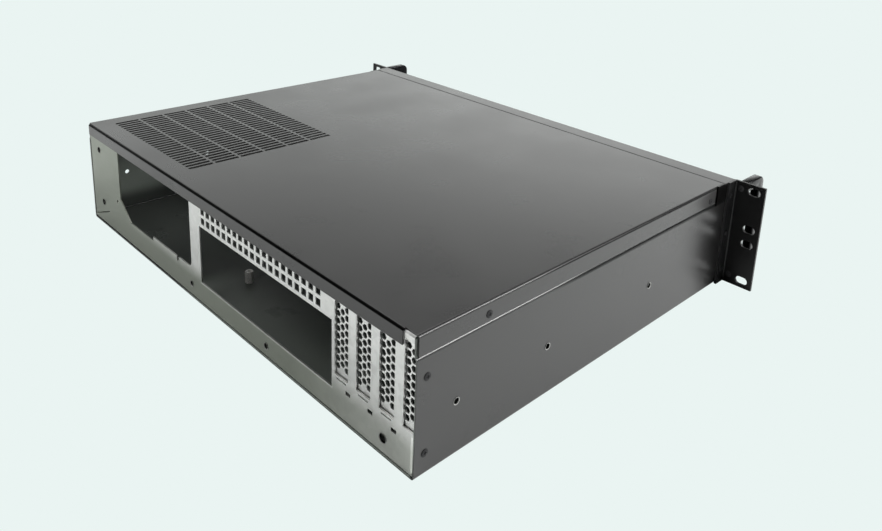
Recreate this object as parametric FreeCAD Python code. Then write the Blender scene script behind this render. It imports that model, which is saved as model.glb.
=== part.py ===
"""Two-unit rackmount server case, empty: folded steel sheet, with its inner brackets and front controls.

Units are millimetres. X runs across the case, Y from the front to the rear and Z up. The origin lies on
the underside, in the middle of the body's footprint.
"""
import FreeCAD
import Part
import math
import os
from FreeCAD import Vector

# Overall sizes
BODY_W = 430.0
BODY_H = 88.0
BODY_D = 336.5

# Sheets and their bends
TRAY_T = 1.2
COVER_T = 1.0
REAR_T = 1.0
FRONT_T = 1.2
EAR_T = 2.0
INNER_T = 1.0
BEND_R = 1.0
FIT_GAP = 0.2

# How far cutting solids run past the sheet they cut
OVERCUT = 1.0

# Side walls of the tray: the upper part steps inwards to take the cover's flange
SHOULDER_DROP = 14.6
RELIEF = 1.5
RAIL_HOLE_R = 2.1
RAIL_HOLE_Z = 35.5
RAIL_HOLES_FROM_REAR = (29.9, 108.2, 221.6)

# Cover: rear flange, side flanges and the vent over the power supply
COVER_FLANGE_GAP = 0.6
COVER_FLANGE_FROM_FRONT = 30.0
REAR_FLANGE_H = 9.6
REAR_FLANGE_LEFT_INSET = 10.8
REAR_FLANGE_RIGHT_INSET = 3.8
STRIP_DEPTH = 17.0
SEAM = 0.8
VENT_STRIPS = 6
VENT_STRIP_PITCH = 21.65
VENT_SLOT_L = 19.7
VENT_SLOT_W = 3.3
VENT_SLOT_PITCH = 5.35
VENT_SLOTS = 26
VENT_INSET = 16.0
VENT_FROM_REAR = 16.7

# Rear panel cut-outs. Insets are from the side walls, Z from the underside
PANEL_FLANGE = 12.0
IO_INSET = 73.6
IO_Z = 18.8
IO_W = 158.75
IO_H = 44.45
PSU_FROM_IO = 14.5
PSU_INSET = 59.0
PSU_Z = 21.2
PSU_TOP_DROP = 6.5
PSU_CHAMFER_W = 18.0
PSU_CHAMFER_H = 13.9
PSU_LIP_START = 0.19
PSU_LIP_PART = 0.325
PSU_LIP_H = 3.5
PSU_NOTCH_W = 3.0
PSU_CORNER_R = 4.7
GRID_COLUMNS = 20
GRID_ROWS = 2
GRID_PITCH = 7.34
GRID_HOLE = 4.9
GRID_FROM_IO = 3.2
GRID_OVER_IO = 2.7
SLOT_INSET = 70.9
SLOT_PITCH = 20.32
SLOT_W = 13.0
SLOT_Z = 29.1
SLOT_TOP_DROP = 5.5
TONGUE_SLIT_L = 9.0
TONGUE_SLIT_H = 1.0
TONGUE_SLIT_DROP = 2.6
KEY_HOLE_W = 4.4
KEY_HOLE_H = 2.4
KEY_HOLE_DROP = 8.5
RIGHT_HOLES = ((19.9, 68.5, 2.2), (22.5, 21.4, 2.4), (53.0, 31.7, 1.6), (182.2, 11.1, 2.2))
LEFT_HOLES = ((146.0, 9.5, 2.2), (26.2, 11.6, 3.0))
CORNER_SLIT_W = 1.0
CORNER_SLIT_START = (4.5, 4.6)
CORNER_SLIT_END = (33.5, 15.4)

# Slot covers
SLOT_COVERS = 4
SLOT_COVER_W = 18.42
SLOT_COVER_T = 0.9
SLOT_COVER_GAP = 0.6
SLOT_COVER_Z = 24.7
SLOT_COVER_TAB = 11.0
COVER_HOLE_AF = 3.7
COVER_HOLE_PITCH = 4.88
COVER_COLUMN_PITCH = 4.1
COVER_COLUMNS = 3
COVER_HOLE_ROWS = 9
COVER_HOLE_INSET = 1.5
COVER_FIRST_HOLE_Z = 34.6
EDGE_COVER_COLUMNS = 2
EDGE_COVER_HOLE_ROWS = 10
EDGE_COVER_FLANGE = 14.0
EDGE_COVER_LAP = 3.5
EDGE_COVER_HOLE_INSET = 1.7

# Rack ears and handles
EAR_REACH = 26.3
EAR_FLANGE_L = 12.5
EAR_SLOT_W = 6.5
EAR_SLOT_L = 10.0
EAR_SLOT_INSET = 8.75
EAR_SLOT_FROM_EDGE = 5.9
EAR_SLOT_FROM_MIDDLE = 6.35
HANDLE_FROM_WALL = 6.5
HANDLE_W = 7.2
HANDLE_BAR = 8.0
HANDLE_REACH = 31.0
HANDLE_Z = 3.0
HANDLE_TOP_DROP = 1.4
HANDLE_OUTER_R = 6.5
HANDLE_INNER_R = 4.0

# Front panel
FRONT_FLANGE = 14.0
LEDGE_L = 9.0
INTAKE_COLUMNS = 3
INTAKE_ROWS = 5
INTAKE_INSET = 163.0
INTAKE_SLOT_L = 84.0
INTAKE_SLOT_H = 5.5
INTAKE_COLUMN_PITCH = 96.0
INTAKE_ROW_PITCH = 13.0

# Board standoffs
STANDOFF_AF = 5.5
STANDOFF_H = 9.5
BOARD_HOLE_FROM_IO = 6.0
BOARD_HOLE_FROM_REAR = 18.8
BOARD_IO_HOLE_SHIFT = 22.86
BOARD_MID_COLUMN = 157.48
BOARD_FAR_COLUMN = 203.2
BOARD_MID_ROW = 154.94
BOARD_FAR_ROW = 227.33

# Inner sheet pieces
BAR_Y = 8.0
BAR_W = 20.0
BAR_H = 12.0
CAGE_INSET = 75.0
CAGE_FROM_FRONT = 33.5
CAGE_INNER_W = 104.0
CAGE_L = 118.0
CAGE_H = 62.0
CAGE_FOOT = 9.0
CAGE_SLOT_L = 22.0
CAGE_SLOT_H = 5.0
CAGE_SLOT_PITCH = 36.0
CAGE_SLOT_Z = 30.0
CAGE_WINDOW_L = 34.0
CAGE_WINDOW_W = 70.0

# Front controls. Their rises are from the middle of their housing, their insets from its edges
CONTROL_INSET = 39.0
CONTROL_Z = 46.0
CONTROL_W = 56.0
CONTROL_H = 48.0
HOUSING_T = 1.6
POST = 6.0
BUTTON_RISE = 12.0
POWER_R = 6.0
RESET_INSET = 9.0
RESET_HALF = 2.5
BUTTON_GAP = 0.3
BUTTON_PROUD = 1.2
BUTTON_COLLAR = 1.4
BUTTON_COLLAR_T = 1.5
GUIDE_WALL = 1.8
GUIDE_L = 6.4
BOARD_BEHIND = 14.0
CONTROL_BOARD_T = 1.6
SWITCH_SIZE = 6.0
SWITCH_H = 2.2
LENS_W = 2.4
LENS_H = 5.0
LENS_INSET = 9.0
LENS_RISES = (16.0, 8.0)
LENS_GAP = 0.15
USB_W = 13.2
USB_H = 5.8
USB_WALL = 0.4
USB_TONGUE_T = 1.6
USB_TONGUE_L = 9.0
USB_INSETS = (14.0, 40.0)
USB_RISE = -12.0

HALF_W = BODY_W / 2
REAR_Y = BODY_D / 2
FRONT_Y = -BODY_D / 2
COVER_UNDER_Z = BODY_H - COVER_T
SHOULDER_Z = BODY_H - SHOULDER_DROP
COVER_FLANGE_Y = FRONT_Y + COVER_FLANGE_FROM_FRONT
STEP_IN = COVER_T + FIT_GAP
WALL_TOP_Z = BODY_H - FRONT_T
STEPPED_TOP_Z = COVER_UNDER_Z - BEND_R
WALL_IN_X = HALF_W - TRAY_T
STEPPED_IN_X = WALL_IN_X - STEP_IN
FRONT_IN_Y = FRONT_Y + FRONT_T
SEAM_Y = FRONT_Y + STRIP_DEPTH
REAR_IN_Y = REAR_Y - REAR_T
IO_LEFT_X = -HALF_W + IO_INSET
IO_RIGHT_X = IO_LEFT_X + IO_W
PSU_LEFT_X = IO_RIGHT_X + PSU_FROM_IO
PSU_RIGHT_X = HALF_W - PSU_INSET
SLOT_RIGHT_X = -HALF_W + SLOT_INSET
SLOT_COVER_Y = REAR_IN_Y - SLOT_COVER_GAP - SLOT_COVER_T / 2
CAGE_X = HALF_W - CAGE_INSET
CONTROL_X = HALF_W - CONTROL_INSET
BUTTON_Z = CONTROL_Z + BUTTON_RISE
CONTROL_LEFT_X = CONTROL_X - CONTROL_W / 2
RESET_X = CONTROL_X + CONTROL_W / 2 - RESET_INSET
LENSES = [(CONTROL_LEFT_X + LENS_INSET, CONTROL_Z + rise) for rise in LENS_RISES]
USB_SOCKETS = [(CONTROL_LEFT_X + inset, CONTROL_Z + USB_RISE) for inset in USB_INSETS]


def on_yz(x):
    """Turn a flat point into one on the plane across X."""
    return lambda a, b: Vector(x, a, b)


def on_xz(y):
    """Turn a flat point into one on the plane across Y."""
    return lambda a, b: Vector(a, y, b)


def on_xy(z):
    """Turn a flat point into one on the plane across Z."""
    return lambda a, b: Vector(a, b, z)


def folded_section(points, thickness, place, bend=BEND_R):
    """Face of a folded sheet, from the corners of its middle line. Every corner is bent round."""
    half = thickness / 2
    middle_r = bend + half
    left, right = [], []
    start = points[0]
    for i in range(1, len(points)):
        ux, uy = points[i][0] - points[i - 1][0], points[i][1] - points[i - 1][1]
        run = math.hypot(ux, uy)
        ux, uy = ux / run, uy / run
        last = i == len(points) - 1
        end = points[i]
        if not last:
            vx, vy = points[i + 1][0] - points[i][0], points[i + 1][1] - points[i][1]
            run = math.hypot(vx, vy)
            vx, vy = vx / run, vy / run
            turn = math.atan2(ux * vy - uy * vx, ux * vx + uy * vy)
            back = middle_r * math.tan(abs(turn) / 2)
            end = (points[i][0] - ux * back, points[i][1] - uy * back)
        for side, offset in ((left, half), (right, -half)):
            side.append(Part.makeLine(place(start[0] - uy * offset, start[1] + ux * offset),
                                      place(end[0] - uy * offset, end[1] + ux * offset)))
        if last:
            break
        sign = math.copysign(1, turn)
        centre = (end[0] - uy * middle_r * sign, end[1] + ux * middle_r * sign)
        nxt = (points[i][0] + vx * back, points[i][1] + vy * back)
        mx, my = points[i][0] - centre[0], points[i][1] - centre[1]
        run = math.hypot(mx, my)
        mx, my = mx / run, my / run
        for side, offset in ((left, half), (right, -half)):
            r = middle_r - offset * sign
            side.append(Part.Arc(place(end[0] - uy * offset, end[1] + ux * offset),
                                 place(centre[0] + mx * r, centre[1] + my * r),
                                 place(nxt[0] - vy * offset, nxt[1] + vx * offset)).toShape())
        start = nxt
    first_cap = Part.makeLine(right[0].Vertexes[0].Point, left[0].Vertexes[0].Point)
    last_cap = Part.makeLine(left[-1].Vertexes[-1].Point, right[-1].Vertexes[-1].Point)
    edges = left + [last_cap] + right[::-1] + [first_cap]
    return Part.Face(Part.Wire(Part.__sortEdges__(edges)))


def polygon(points, place):
    """Closed wire through flat points."""
    corners = [place(a, b) for a, b in points]
    return Part.makePolygon(corners + corners[:1])


def rectangle(a0, b0, a1, b1, place):
    """Closed wire of a rectangle between two corners."""
    return polygon(((a0, b0), (a1, b0), (a1, b1), (a0, b1)), place)


def centred(a, b, half_a, half_b, place):
    """Closed wire of a rectangle about a point."""
    return rectangle(a - half_a, b - half_b, a + half_a, b + half_b, place)


def hexagon(a, b, across_flats, place):
    """Closed wire of a hexagon with flats at its top and bottom."""
    r = across_flats / 2 / math.cos(math.radians(30))
    return polygon([(a + r * math.cos(math.radians(60 * i)), b + r * math.sin(math.radians(60 * i)))
                    for i in range(6)], place)


def block(x0, x1, y0, y1, z0, z1):
    """Box between two corners."""
    return Part.makeBox(x1 - x0, y1 - y0, z1 - z0, Vector(x0, y0, z0))


def tube_y(x, y0, y1, z, r):
    """Round bar along Y."""
    return Part.makeCylinder(r, y1 - y0, Vector(x, y0, z), Vector(0, 1, 0))


def tube_x(x0, x1, y, z, r):
    """Round bar along X."""
    return Part.makeCylinder(r, x1 - x0, Vector(x0, y, z), Vector(1, 0, 0))


def mirrored(shape):
    """Copy on the other side of the case's middle plane."""
    return shape.mirror(Vector(0, 0, 0), Vector(1, 0, 0))


def save(node, *solids):
    """Write a node's solids to its file."""
    shape = solids[0] if len(solids) == 1 else Part.makeCompound(list(solids))
    shape.exportStep("parts/" + node + ".step")


def chassis_tray():
    """Floor and side walls in one folded sheet, stepped in along the top for the cover's flange."""
    wall_x = HALF_W - TRAY_T / 2
    stepped_x = wall_x - STEP_IN
    half = [(stepped_x, STEPPED_TOP_Z), (stepped_x, SHOULDER_Z + STEP_IN),
            (wall_x, SHOULDER_Z), (wall_x, TRAY_T / 2)]
    section = half + [(-x, z) for x, z in half[::-1]]
    step_y = COVER_FLANGE_Y - RELIEF
    rear = folded_section(section, TRAY_T, on_xz(step_y)).extrude(Vector(0, REAR_Y - step_y, 0))
    plain = [(wall_x, BODY_H), (wall_x, TRAY_T / 2), (-wall_x, TRAY_T / 2), (-wall_x, BODY_H)]
    front = folded_section(plain, TRAY_T, on_xz(FRONT_IN_Y)).extrude(Vector(0, step_y - FRONT_IN_Y, 0))
    relief = block(-HALF_W, HALF_W, step_y - RELIEF, step_y, SHOULDER_Z - RELIEF, BODY_H)
    strip_room = block(-HALF_W, HALF_W, FRONT_IN_Y, SEAM_Y + FIT_GAP, WALL_TOP_Z, BODY_H)
    tray = rear.fuse(front.cut([relief, strip_room]))
    reach = HALF_W + OVERCUT
    holes = [tube_x(-reach, reach, REAR_Y - back, RAIL_HOLE_Z, RAIL_HOLE_R) for back in RAIL_HOLES_FROM_REAR]
    return tray.cut(holes).removeSplitter()


def rear_panel():
    """Bare sheet across the rear, folded forwards on all four sides, with every rear cut-out."""
    edge_x = WALL_IN_X - FIT_GAP / 2
    web_y = REAR_Y - REAR_T / 2
    section = [(REAR_Y - PANEL_FLANGE, TRAY_T + REAR_T / 2), (web_y, TRAY_T + REAR_T / 2),
               (web_y, COVER_UNDER_Z - REAR_T / 2), (REAR_Y - PANEL_FLANGE, COVER_UNDER_Z - REAR_T / 2)]
    panel = folded_section(section, REAR_T, on_yz(-edge_x)).extrude(Vector(2 * edge_x, 0, 0))
    flange_z = TRAY_T + REAR_T + BEND_R + FIT_GAP
    flange_top = SHOULDER_Z - BEND_R
    bend_x = edge_x - REAR_T - BEND_R
    tools = []
    for side in (1, -1):
        top = flange_top if side > 0 else SLOT_Z - TONGUE_SLIT_DROP
        x0, x1 = sorted((side * bend_x, side * HALF_W))
        tools.append(block(x0, x1, REAR_Y - PANEL_FLANGE, REAR_Y, flange_z, top))
        tools.append(block(x0, x1, REAR_Y - PANEL_FLANGE - OVERCUT, bend_y(), TRAY_T, flange_z))
        x0, x1 = sorted((side * (STEPPED_IN_X - FIT_GAP / 2), side * HALF_W))
        tools.append(block(x0, x1, REAR_Y - PANEL_FLANGE - OVERCUT, REAR_Y + OVERCUT, flange_top, BODY_H))
    panel = panel.cut(tools)
    for side in (1, -1):
        top = flange_top if side > 0 else SLOT_Z - TONGUE_SLIT_DROP
        corner = side * (edge_x - REAR_T / 2)
        bent = [(corner, REAR_Y - PANEL_FLANGE), (corner, web_y), (side * (bend_x - REAR_T), web_y)]
        flange = folded_section(bent, REAR_T, on_xy(flange_z)).extrude(Vector(0, 0, top - flange_z))
        panel = panel.fuse(flange)
    return panel.cut(rear_openings()).removeSplitter()


def bend_y():
    """Where the rear panel's folds begin, in front of its web."""
    return REAR_Y - REAR_T - BEND_R


def rear_openings():
    """Solids that cut the rear panel's openings."""
    near = on_xz(REAR_Y - PANEL_FLANGE + OVERCUT)
    through = Vector(0, PANEL_FLANGE, 0)
    outlines = [psu_outline(near),
                rectangle(IO_LEFT_X, IO_Z, IO_RIGHT_X, IO_Z + IO_H, near)]
    for column in range(GRID_COLUMNS):
        for row in range(GRID_ROWS):
            x = IO_RIGHT_X - GRID_FROM_IO - column * GRID_PITCH
            z = IO_Z + IO_H + GRID_OVER_IO + row * GRID_PITCH
            outlines.append(rectangle(x - GRID_HOLE, z, x, z + GRID_HOLE, near))
    for k in range(SLOT_COVERS):
        x = SLOT_RIGHT_X - k * SLOT_PITCH
        left = x - SLOT_W if k < SLOT_COVERS - 1 else -HALF_W
        outlines.append(rectangle(left, SLOT_Z, x, BODY_H - SLOT_TOP_DROP, near))
        if k < SLOT_COVERS - 1:
            slit_x = x - SLOT_W / 2 - TONGUE_SLIT_L / 2
            slit_z = SLOT_Z - TONGUE_SLIT_DROP
            outlines.append(rectangle(slit_x, slit_z, slit_x + TONGUE_SLIT_L, slit_z + TONGUE_SLIT_H, near))
            key_x = x - SLOT_W - KEY_HOLE_W / 2
            key_z = SLOT_Z - KEY_HOLE_DROP
            outlines.append(rectangle(key_x, key_z, key_x + KEY_HOLE_W, key_z + KEY_HOLE_H, near))
    x0, x1 = HALF_W - CORNER_SLIT_START[0], HALF_W - CORNER_SLIT_END[0]
    z0, z1 = CORNER_SLIT_START[1], CORNER_SLIT_END[1]
    outlines.append(polygon(((x0, z0), (x1, z1), (x1, z1 + CORNER_SLIT_W), (x0, z0 + CORNER_SLIT_W)), near))
    openings = [Part.Face(outline).extrude(through) for outline in outlines]
    holes = [(HALF_W - inset, z, r) for inset, z, r in RIGHT_HOLES]
    holes += [(-HALF_W + inset, z, r) for inset, z, r in LEFT_HOLES]
    return openings + [tube_y(x, bend_y() - OVERCUT, REAR_Y + OVERCUT, z, r) for x, z, r in holes]


def psu_outline(place):
    """Outline of the power supply opening, with its cut corner, raised lip, notch and one round corner."""
    top_z = BODY_H - PSU_TOP_DROP
    lip_z = PSU_Z + PSU_LIP_H
    width = PSU_RIGHT_X - PSU_LEFT_X
    lip_left_x = PSU_LEFT_X + width * PSU_LIP_START
    lip_right_x = lip_left_x + width * PSU_LIP_PART
    notch_left_x = lip_left_x - PSU_NOTCH_W
    points = [(PSU_LEFT_X, lip_z + PSU_CORNER_R), (PSU_LEFT_X, top_z), (PSU_RIGHT_X, top_z),
              (PSU_RIGHT_X, PSU_Z + PSU_CHAMFER_H), (PSU_RIGHT_X - PSU_CHAMFER_W, PSU_Z),
              (lip_right_x, PSU_Z), (lip_right_x, lip_z), (lip_left_x, lip_z),
              (lip_left_x, PSU_Z), (notch_left_x, PSU_Z), (notch_left_x, lip_z),
              (PSU_LEFT_X + PSU_CORNER_R, lip_z)]
    edges = [Part.makeLine(place(*points[i]), place(*points[i + 1])) for i in range(len(points) - 1)]
    side = PSU_CORNER_R * (1 - math.sqrt(0.5))
    corner = Part.Arc(place(*points[-1]), place(PSU_LEFT_X + side, lip_z + side), place(*points[0]))
    return Part.Wire(edges + [corner.toShape()])


def top_cover():
    """Painted cover with a flange down each side and across the rear, and six strips of vent slots."""
    flange_x = HALF_W - COVER_T / 2
    top_z = BODY_H - COVER_T / 2
    low_z = SHOULDER_Z + STEP_IN + COVER_FLANGE_GAP
    rear_out_y = REAR_Y + FIT_GAP + COVER_T
    plate_end_y = REAR_Y - BEND_R
    section = [(flange_x, low_z), (flange_x, top_z), (-flange_x, top_z), (-flange_x, low_z)]
    flange_l = plate_end_y - COVER_FLANGE_Y
    folded = folded_section(section, COVER_T, on_xz(COVER_FLANGE_Y)).extrude(Vector(0, flange_l, 0))
    seam_y = SEAM_Y + SEAM
    inside_x = WALL_IN_X - FIT_GAP
    front = block(-inside_x, inside_x, seam_y, COVER_FLANGE_Y, COVER_UNDER_Z, BODY_H)
    rear_mid = rear_out_y - COVER_T / 2
    hook = [(plate_end_y - 2 * BEND_R, top_z), (rear_mid, top_z), (rear_mid, BODY_H - REAR_FLANGE_H)]
    left_x = -HALF_W + REAR_FLANGE_LEFT_INSET
    right_x = HALF_W - REAR_FLANGE_RIGHT_INSET
    rear = folded_section(hook, COVER_T, on_yz(left_x)).extrude(Vector(right_x - left_x, 0, 0))
    cover = folded.fuse([front, rear])
    below = on_xy(COVER_UNDER_Z - OVERCUT)
    slots = []
    for strip in range(VENT_STRIPS):
        y = REAR_Y - VENT_FROM_REAR - strip * VENT_STRIP_PITCH
        for slot in range(VENT_SLOTS):
            x = HALF_W - VENT_INSET - slot * VENT_SLOT_PITCH
            slots.append(Part.Face(rectangle(x - VENT_SLOT_W, y - VENT_SLOT_L, x, y, below)))
    return cover.removeSplitter().cut([slot.extrude(Vector(0, 0, COVER_T + 2 * OVERCUT)) for slot in slots])


def front_panel():
    """Painted front sheet: the fixed strip along the top, a ledge for the cover and a flange each side."""
    face_y = FRONT_Y + FRONT_T / 2
    strip_z = BODY_H - FRONT_T / 2
    ledge_z = COVER_UNDER_Z - FRONT_T / 2
    step_y = SEAM_Y - FRONT_T / 2
    section = [(face_y, 0.0), (face_y, strip_z), (step_y, strip_z), (step_y + (strip_z - ledge_z), ledge_z),
               (SEAM_Y + LEDGE_L, ledge_z)]
    panel = folded_section(section, FRONT_T, on_yz(-HALF_W), 0.6).extrude(Vector(BODY_W, 0, 0))
    step_front_y = step_y - FRONT_T
    end_y = SEAM_Y + LEDGE_L + OVERCUT
    low_z = COVER_UNDER_Z - 2 * FRONT_T
    tools = []
    for side in (1, -1):
        x0, x1 = sorted((side * (STEPPED_IN_X - FIT_GAP), side * HALF_W))
        tools.append(block(x0, x1, step_front_y, end_y, low_z, WALL_TOP_Z))
        tools.append(block(x0, x1, SEAM_Y, end_y, low_z, BODY_H))
    panel = panel.cut(tools)
    corner_x = WALL_IN_X - FIT_GAP / 2 - FRONT_T / 2
    flange_z = TRAY_T + BEND_R
    flange_top = WALL_TOP_Z - 2 * FRONT_T
    for side in (1, -1):
        flange = block(*sorted((side * (corner_x - FRONT_T / 2), side * (corner_x + FRONT_T / 2))),
                       FRONT_IN_Y, FRONT_IN_Y + FRONT_FLANGE, flange_z, flange_top)
        panel = panel.fuse(flange)
    return panel.cut(front_openings()).removeSplitter()


def front_openings():
    """Solids that cut the front panel's air slots and the openings of its controls."""
    near = on_xz(FRONT_Y - OVERCUT)
    through = Vector(0, FRONT_T + 2 * OVERCUT, 0)
    outlines = []
    for column in range(INTAKE_COLUMNS):
        for row in range(INTAKE_ROWS):
            x = -HALF_W + INTAKE_INSET + (column - (INTAKE_COLUMNS - 1) / 2) * INTAKE_COLUMN_PITCH
            z = BODY_H / 2 + (row - (INTAKE_ROWS - 1) / 2) * INTAKE_ROW_PITCH
            outlines.append(centred(x, z, INTAKE_SLOT_L / 2, INTAKE_SLOT_H / 2, near))
    outlines += control_outlines(near)
    openings = [Part.Face(outline).extrude(through) for outline in outlines]
    button_hole = tube_y(CONTROL_X, FRONT_Y - OVERCUT, FRONT_IN_Y + OVERCUT, BUTTON_Z, POWER_R + BUTTON_GAP)
    return openings + [button_hole]


def control_outlines(place):
    """Outlines of the square openings for the reset button, the lenses and the sockets."""
    outlines = [centred(RESET_X, BUTTON_Z, RESET_HALF + BUTTON_GAP, RESET_HALF + BUTTON_GAP, place)]
    outlines += [centred(x, z, LENS_W / 2 + LENS_GAP, LENS_H / 2 + LENS_GAP, place) for x, z in LENSES]
    outlines += [centred(x, z, USB_W / 2 + LENS_GAP, USB_H / 2 + LENS_GAP, place) for x, z in USB_SOCKETS]
    return outlines


def rack_ear():
    """Right-hand L bracket: a flange on the side wall and the slotted plate that bolts to the rack."""
    flange_x = HALF_W + EAR_T / 2
    plate_y = FRONT_Y + EAR_T / 2
    end_x = HALF_W + EAR_REACH
    section = [(flange_x, FRONT_Y + EAR_FLANGE_L), (flange_x, plate_y), (end_x, plate_y)]
    ear = folded_section(section, EAR_T, on_xy(0)).extrude(Vector(0, 0, BODY_H))
    slots = []
    reach = (EAR_SLOT_L - EAR_SLOT_W) / 2
    x = end_x - EAR_SLOT_INSET
    y0, y1 = FRONT_Y - OVERCUT, FRONT_Y + EAR_T + OVERCUT
    for z in (EAR_SLOT_FROM_EDGE, BODY_H / 2 - EAR_SLOT_FROM_MIDDLE, BODY_H / 2 + EAR_SLOT_FROM_MIDDLE,
              BODY_H - EAR_SLOT_FROM_EDGE):
        ends = [tube_y(x + offset, y0, y1, z, EAR_SLOT_W / 2) for offset in (-reach, reach)]
        middle = block(x - reach, x + reach, y0, y1, z - EAR_SLOT_W / 2, z + EAR_SLOT_W / 2)
        slots.append(ends[0].fuse([ends[1], middle]).removeSplitter())
    return ear.cut(slots)


def rounded_outline(y0, z0, y1, z1, r, place):
    """Wire of a bow: two legs that end at y1, with round corners at y0."""
    k = r * (1 - math.sqrt(0.5))
    edges = [Part.makeLine(place(y1, z0), place(y0 + r, z0)),
             Part.Arc(place(y0 + r, z0), place(y0 + k, z0 + k), place(y0, z0 + r)).toShape(),
             Part.makeLine(place(y0, z0 + r), place(y0, z1 - r)),
             Part.Arc(place(y0, z1 - r), place(y0 + k, z1 - k), place(y0 + r, z1)).toShape(),
             Part.makeLine(place(y0 + r, z1), place(y1, z1)),
             Part.makeLine(place(y1, z1), place(y1, z0))]
    return Part.Wire(edges)


def handle():
    """Right-hand bow handle, seated on the front of its ear."""
    place = on_yz(HALF_W + HANDLE_FROM_WALL - HANDLE_W / 2)
    tip_y = FRONT_Y - HANDLE_REACH
    top_z = BODY_H - HANDLE_TOP_DROP
    outer = Part.Face(rounded_outline(tip_y, HANDLE_Z, FRONT_Y, top_z, HANDLE_OUTER_R, place))
    inner = Part.Face(rounded_outline(tip_y + HANDLE_BAR, HANDLE_Z + HANDLE_BAR, FRONT_Y + OVERCUT,
                                      top_z - HANDLE_BAR, HANDLE_INNER_R, place))
    return outer.extrude(Vector(HANDLE_W, 0, 0)).cut(inner.extrude(Vector(HANDLE_W, 0, 0)))


def slot_cover(k):
    """Perforated cover behind slot opening k, with its upper end folded forwards under the panel's flange."""
    right = SLOT_RIGHT_X - k * SLOT_PITCH + (SLOT_COVER_W - SLOT_W) / 2
    tab_z = COVER_UNDER_Z - REAR_T - SLOT_COVER_T / 2
    section = [(SLOT_COVER_Y, SLOT_COVER_Z), (SLOT_COVER_Y, tab_z), (SLOT_COVER_Y - SLOT_COVER_TAB, tab_z)]
    width = Vector(SLOT_COVER_W, 0, 0)
    cover = folded_section(section, SLOT_COVER_T, on_yz(right - SLOT_COVER_W)).extrude(width)
    first_x = SLOT_RIGHT_X - k * SLOT_PITCH - COVER_HOLE_INSET
    return cover.cut(cover_holes(first_x, COVER_COLUMNS, COVER_HOLE_ROWS))


def edge_cover():
    """Narrow perforated cover at the end of the row, folded forwards along the side wall."""
    right = SLOT_RIGHT_X - (SLOT_COVERS - 1) * SLOT_PITCH
    inner_x = right + EDGE_COVER_LAP
    outer_x = -WALL_IN_X + FIT_GAP / 2 + SLOT_COVER_T / 2
    section = [(inner_x, SLOT_COVER_Y), (outer_x, SLOT_COVER_Y), (outer_x, SLOT_COVER_Y - EDGE_COVER_FLANGE)]
    low = SLOT_COVER_Z + TONGUE_SLIT_DROP
    top = SHOULDER_Z - BEND_R
    cover = folded_section(section, SLOT_COVER_T, on_xy(low)).extrude(Vector(0, 0, top - low))
    half = SLOT_COVER_T / 2
    head = block(-STEPPED_IN_X + FIT_GAP / 2, inner_x, SLOT_COVER_Y - half, SLOT_COVER_Y + half,
                 top, COVER_UNDER_Z - REAR_T)
    cover = cover.fuse(head).removeSplitter()
    first_x = right - EDGE_COVER_HOLE_INSET
    return cover.cut(cover_holes(first_x, EDGE_COVER_COLUMNS, EDGE_COVER_HOLE_ROWS))


def cover_holes(first_x, columns, rows):
    """Solids that cut a slot cover's staggered columns of holes."""
    near = on_xz(SLOT_COVER_Y - SLOT_COVER_T)
    holes = []
    for column in range(columns):
        x = first_x - column * COVER_COLUMN_PITCH
        z0 = COVER_FIRST_HOLE_Z + (column % 2) * COVER_HOLE_PITCH / 2
        for row in range(rows - column % 2):
            wire = hexagon(x, z0 + row * COVER_HOLE_PITCH, COVER_HOLE_AF, near)
            holes.append(Part.Face(wire).extrude(Vector(0, 2 * SLOT_COVER_T, 0)))
    return holes


def board_standoff(x, y):
    """Hexagonal post that carries a corner of the main board."""
    return Part.Face(hexagon(x, y, STANDOFF_AF, on_xy(TRAY_T))).extrude(Vector(0, 0, STANDOFF_H))


def board_standoffs():
    """Posts in the board's pattern. The corner hole beside the connectors is set further forwards."""
    posts = []
    first_x = IO_RIGHT_X + BOARD_HOLE_FROM_IO
    for x in (0, BOARD_MID_COLUMN, BOARD_FAR_COLUMN):
        for y in (0, BOARD_MID_ROW, BOARD_FAR_ROW):
            shift = BOARD_IO_HOLE_SHIFT if x == y == 0 else y
            posts.append(board_standoff(first_x - x, REAR_Y - BOARD_HOLE_FROM_REAR - shift))
    return posts


def cross_bar():
    """Inverted channel from wall to wall, under the cover."""
    y0, y1 = BAR_Y - BAR_W / 2 + INNER_T / 2, BAR_Y + BAR_W / 2 - INNER_T / 2
    top = COVER_UNDER_Z - INNER_T / 2
    low = COVER_UNDER_Z - BAR_H
    section = [(y0, low), (y0, top), (y1, top), (y1, low)]
    half = STEPPED_IN_X - FIT_GAP / 2
    return folded_section(section, INNER_T, on_yz(-half)).extrude(Vector(2 * half, 0, 0))


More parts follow.
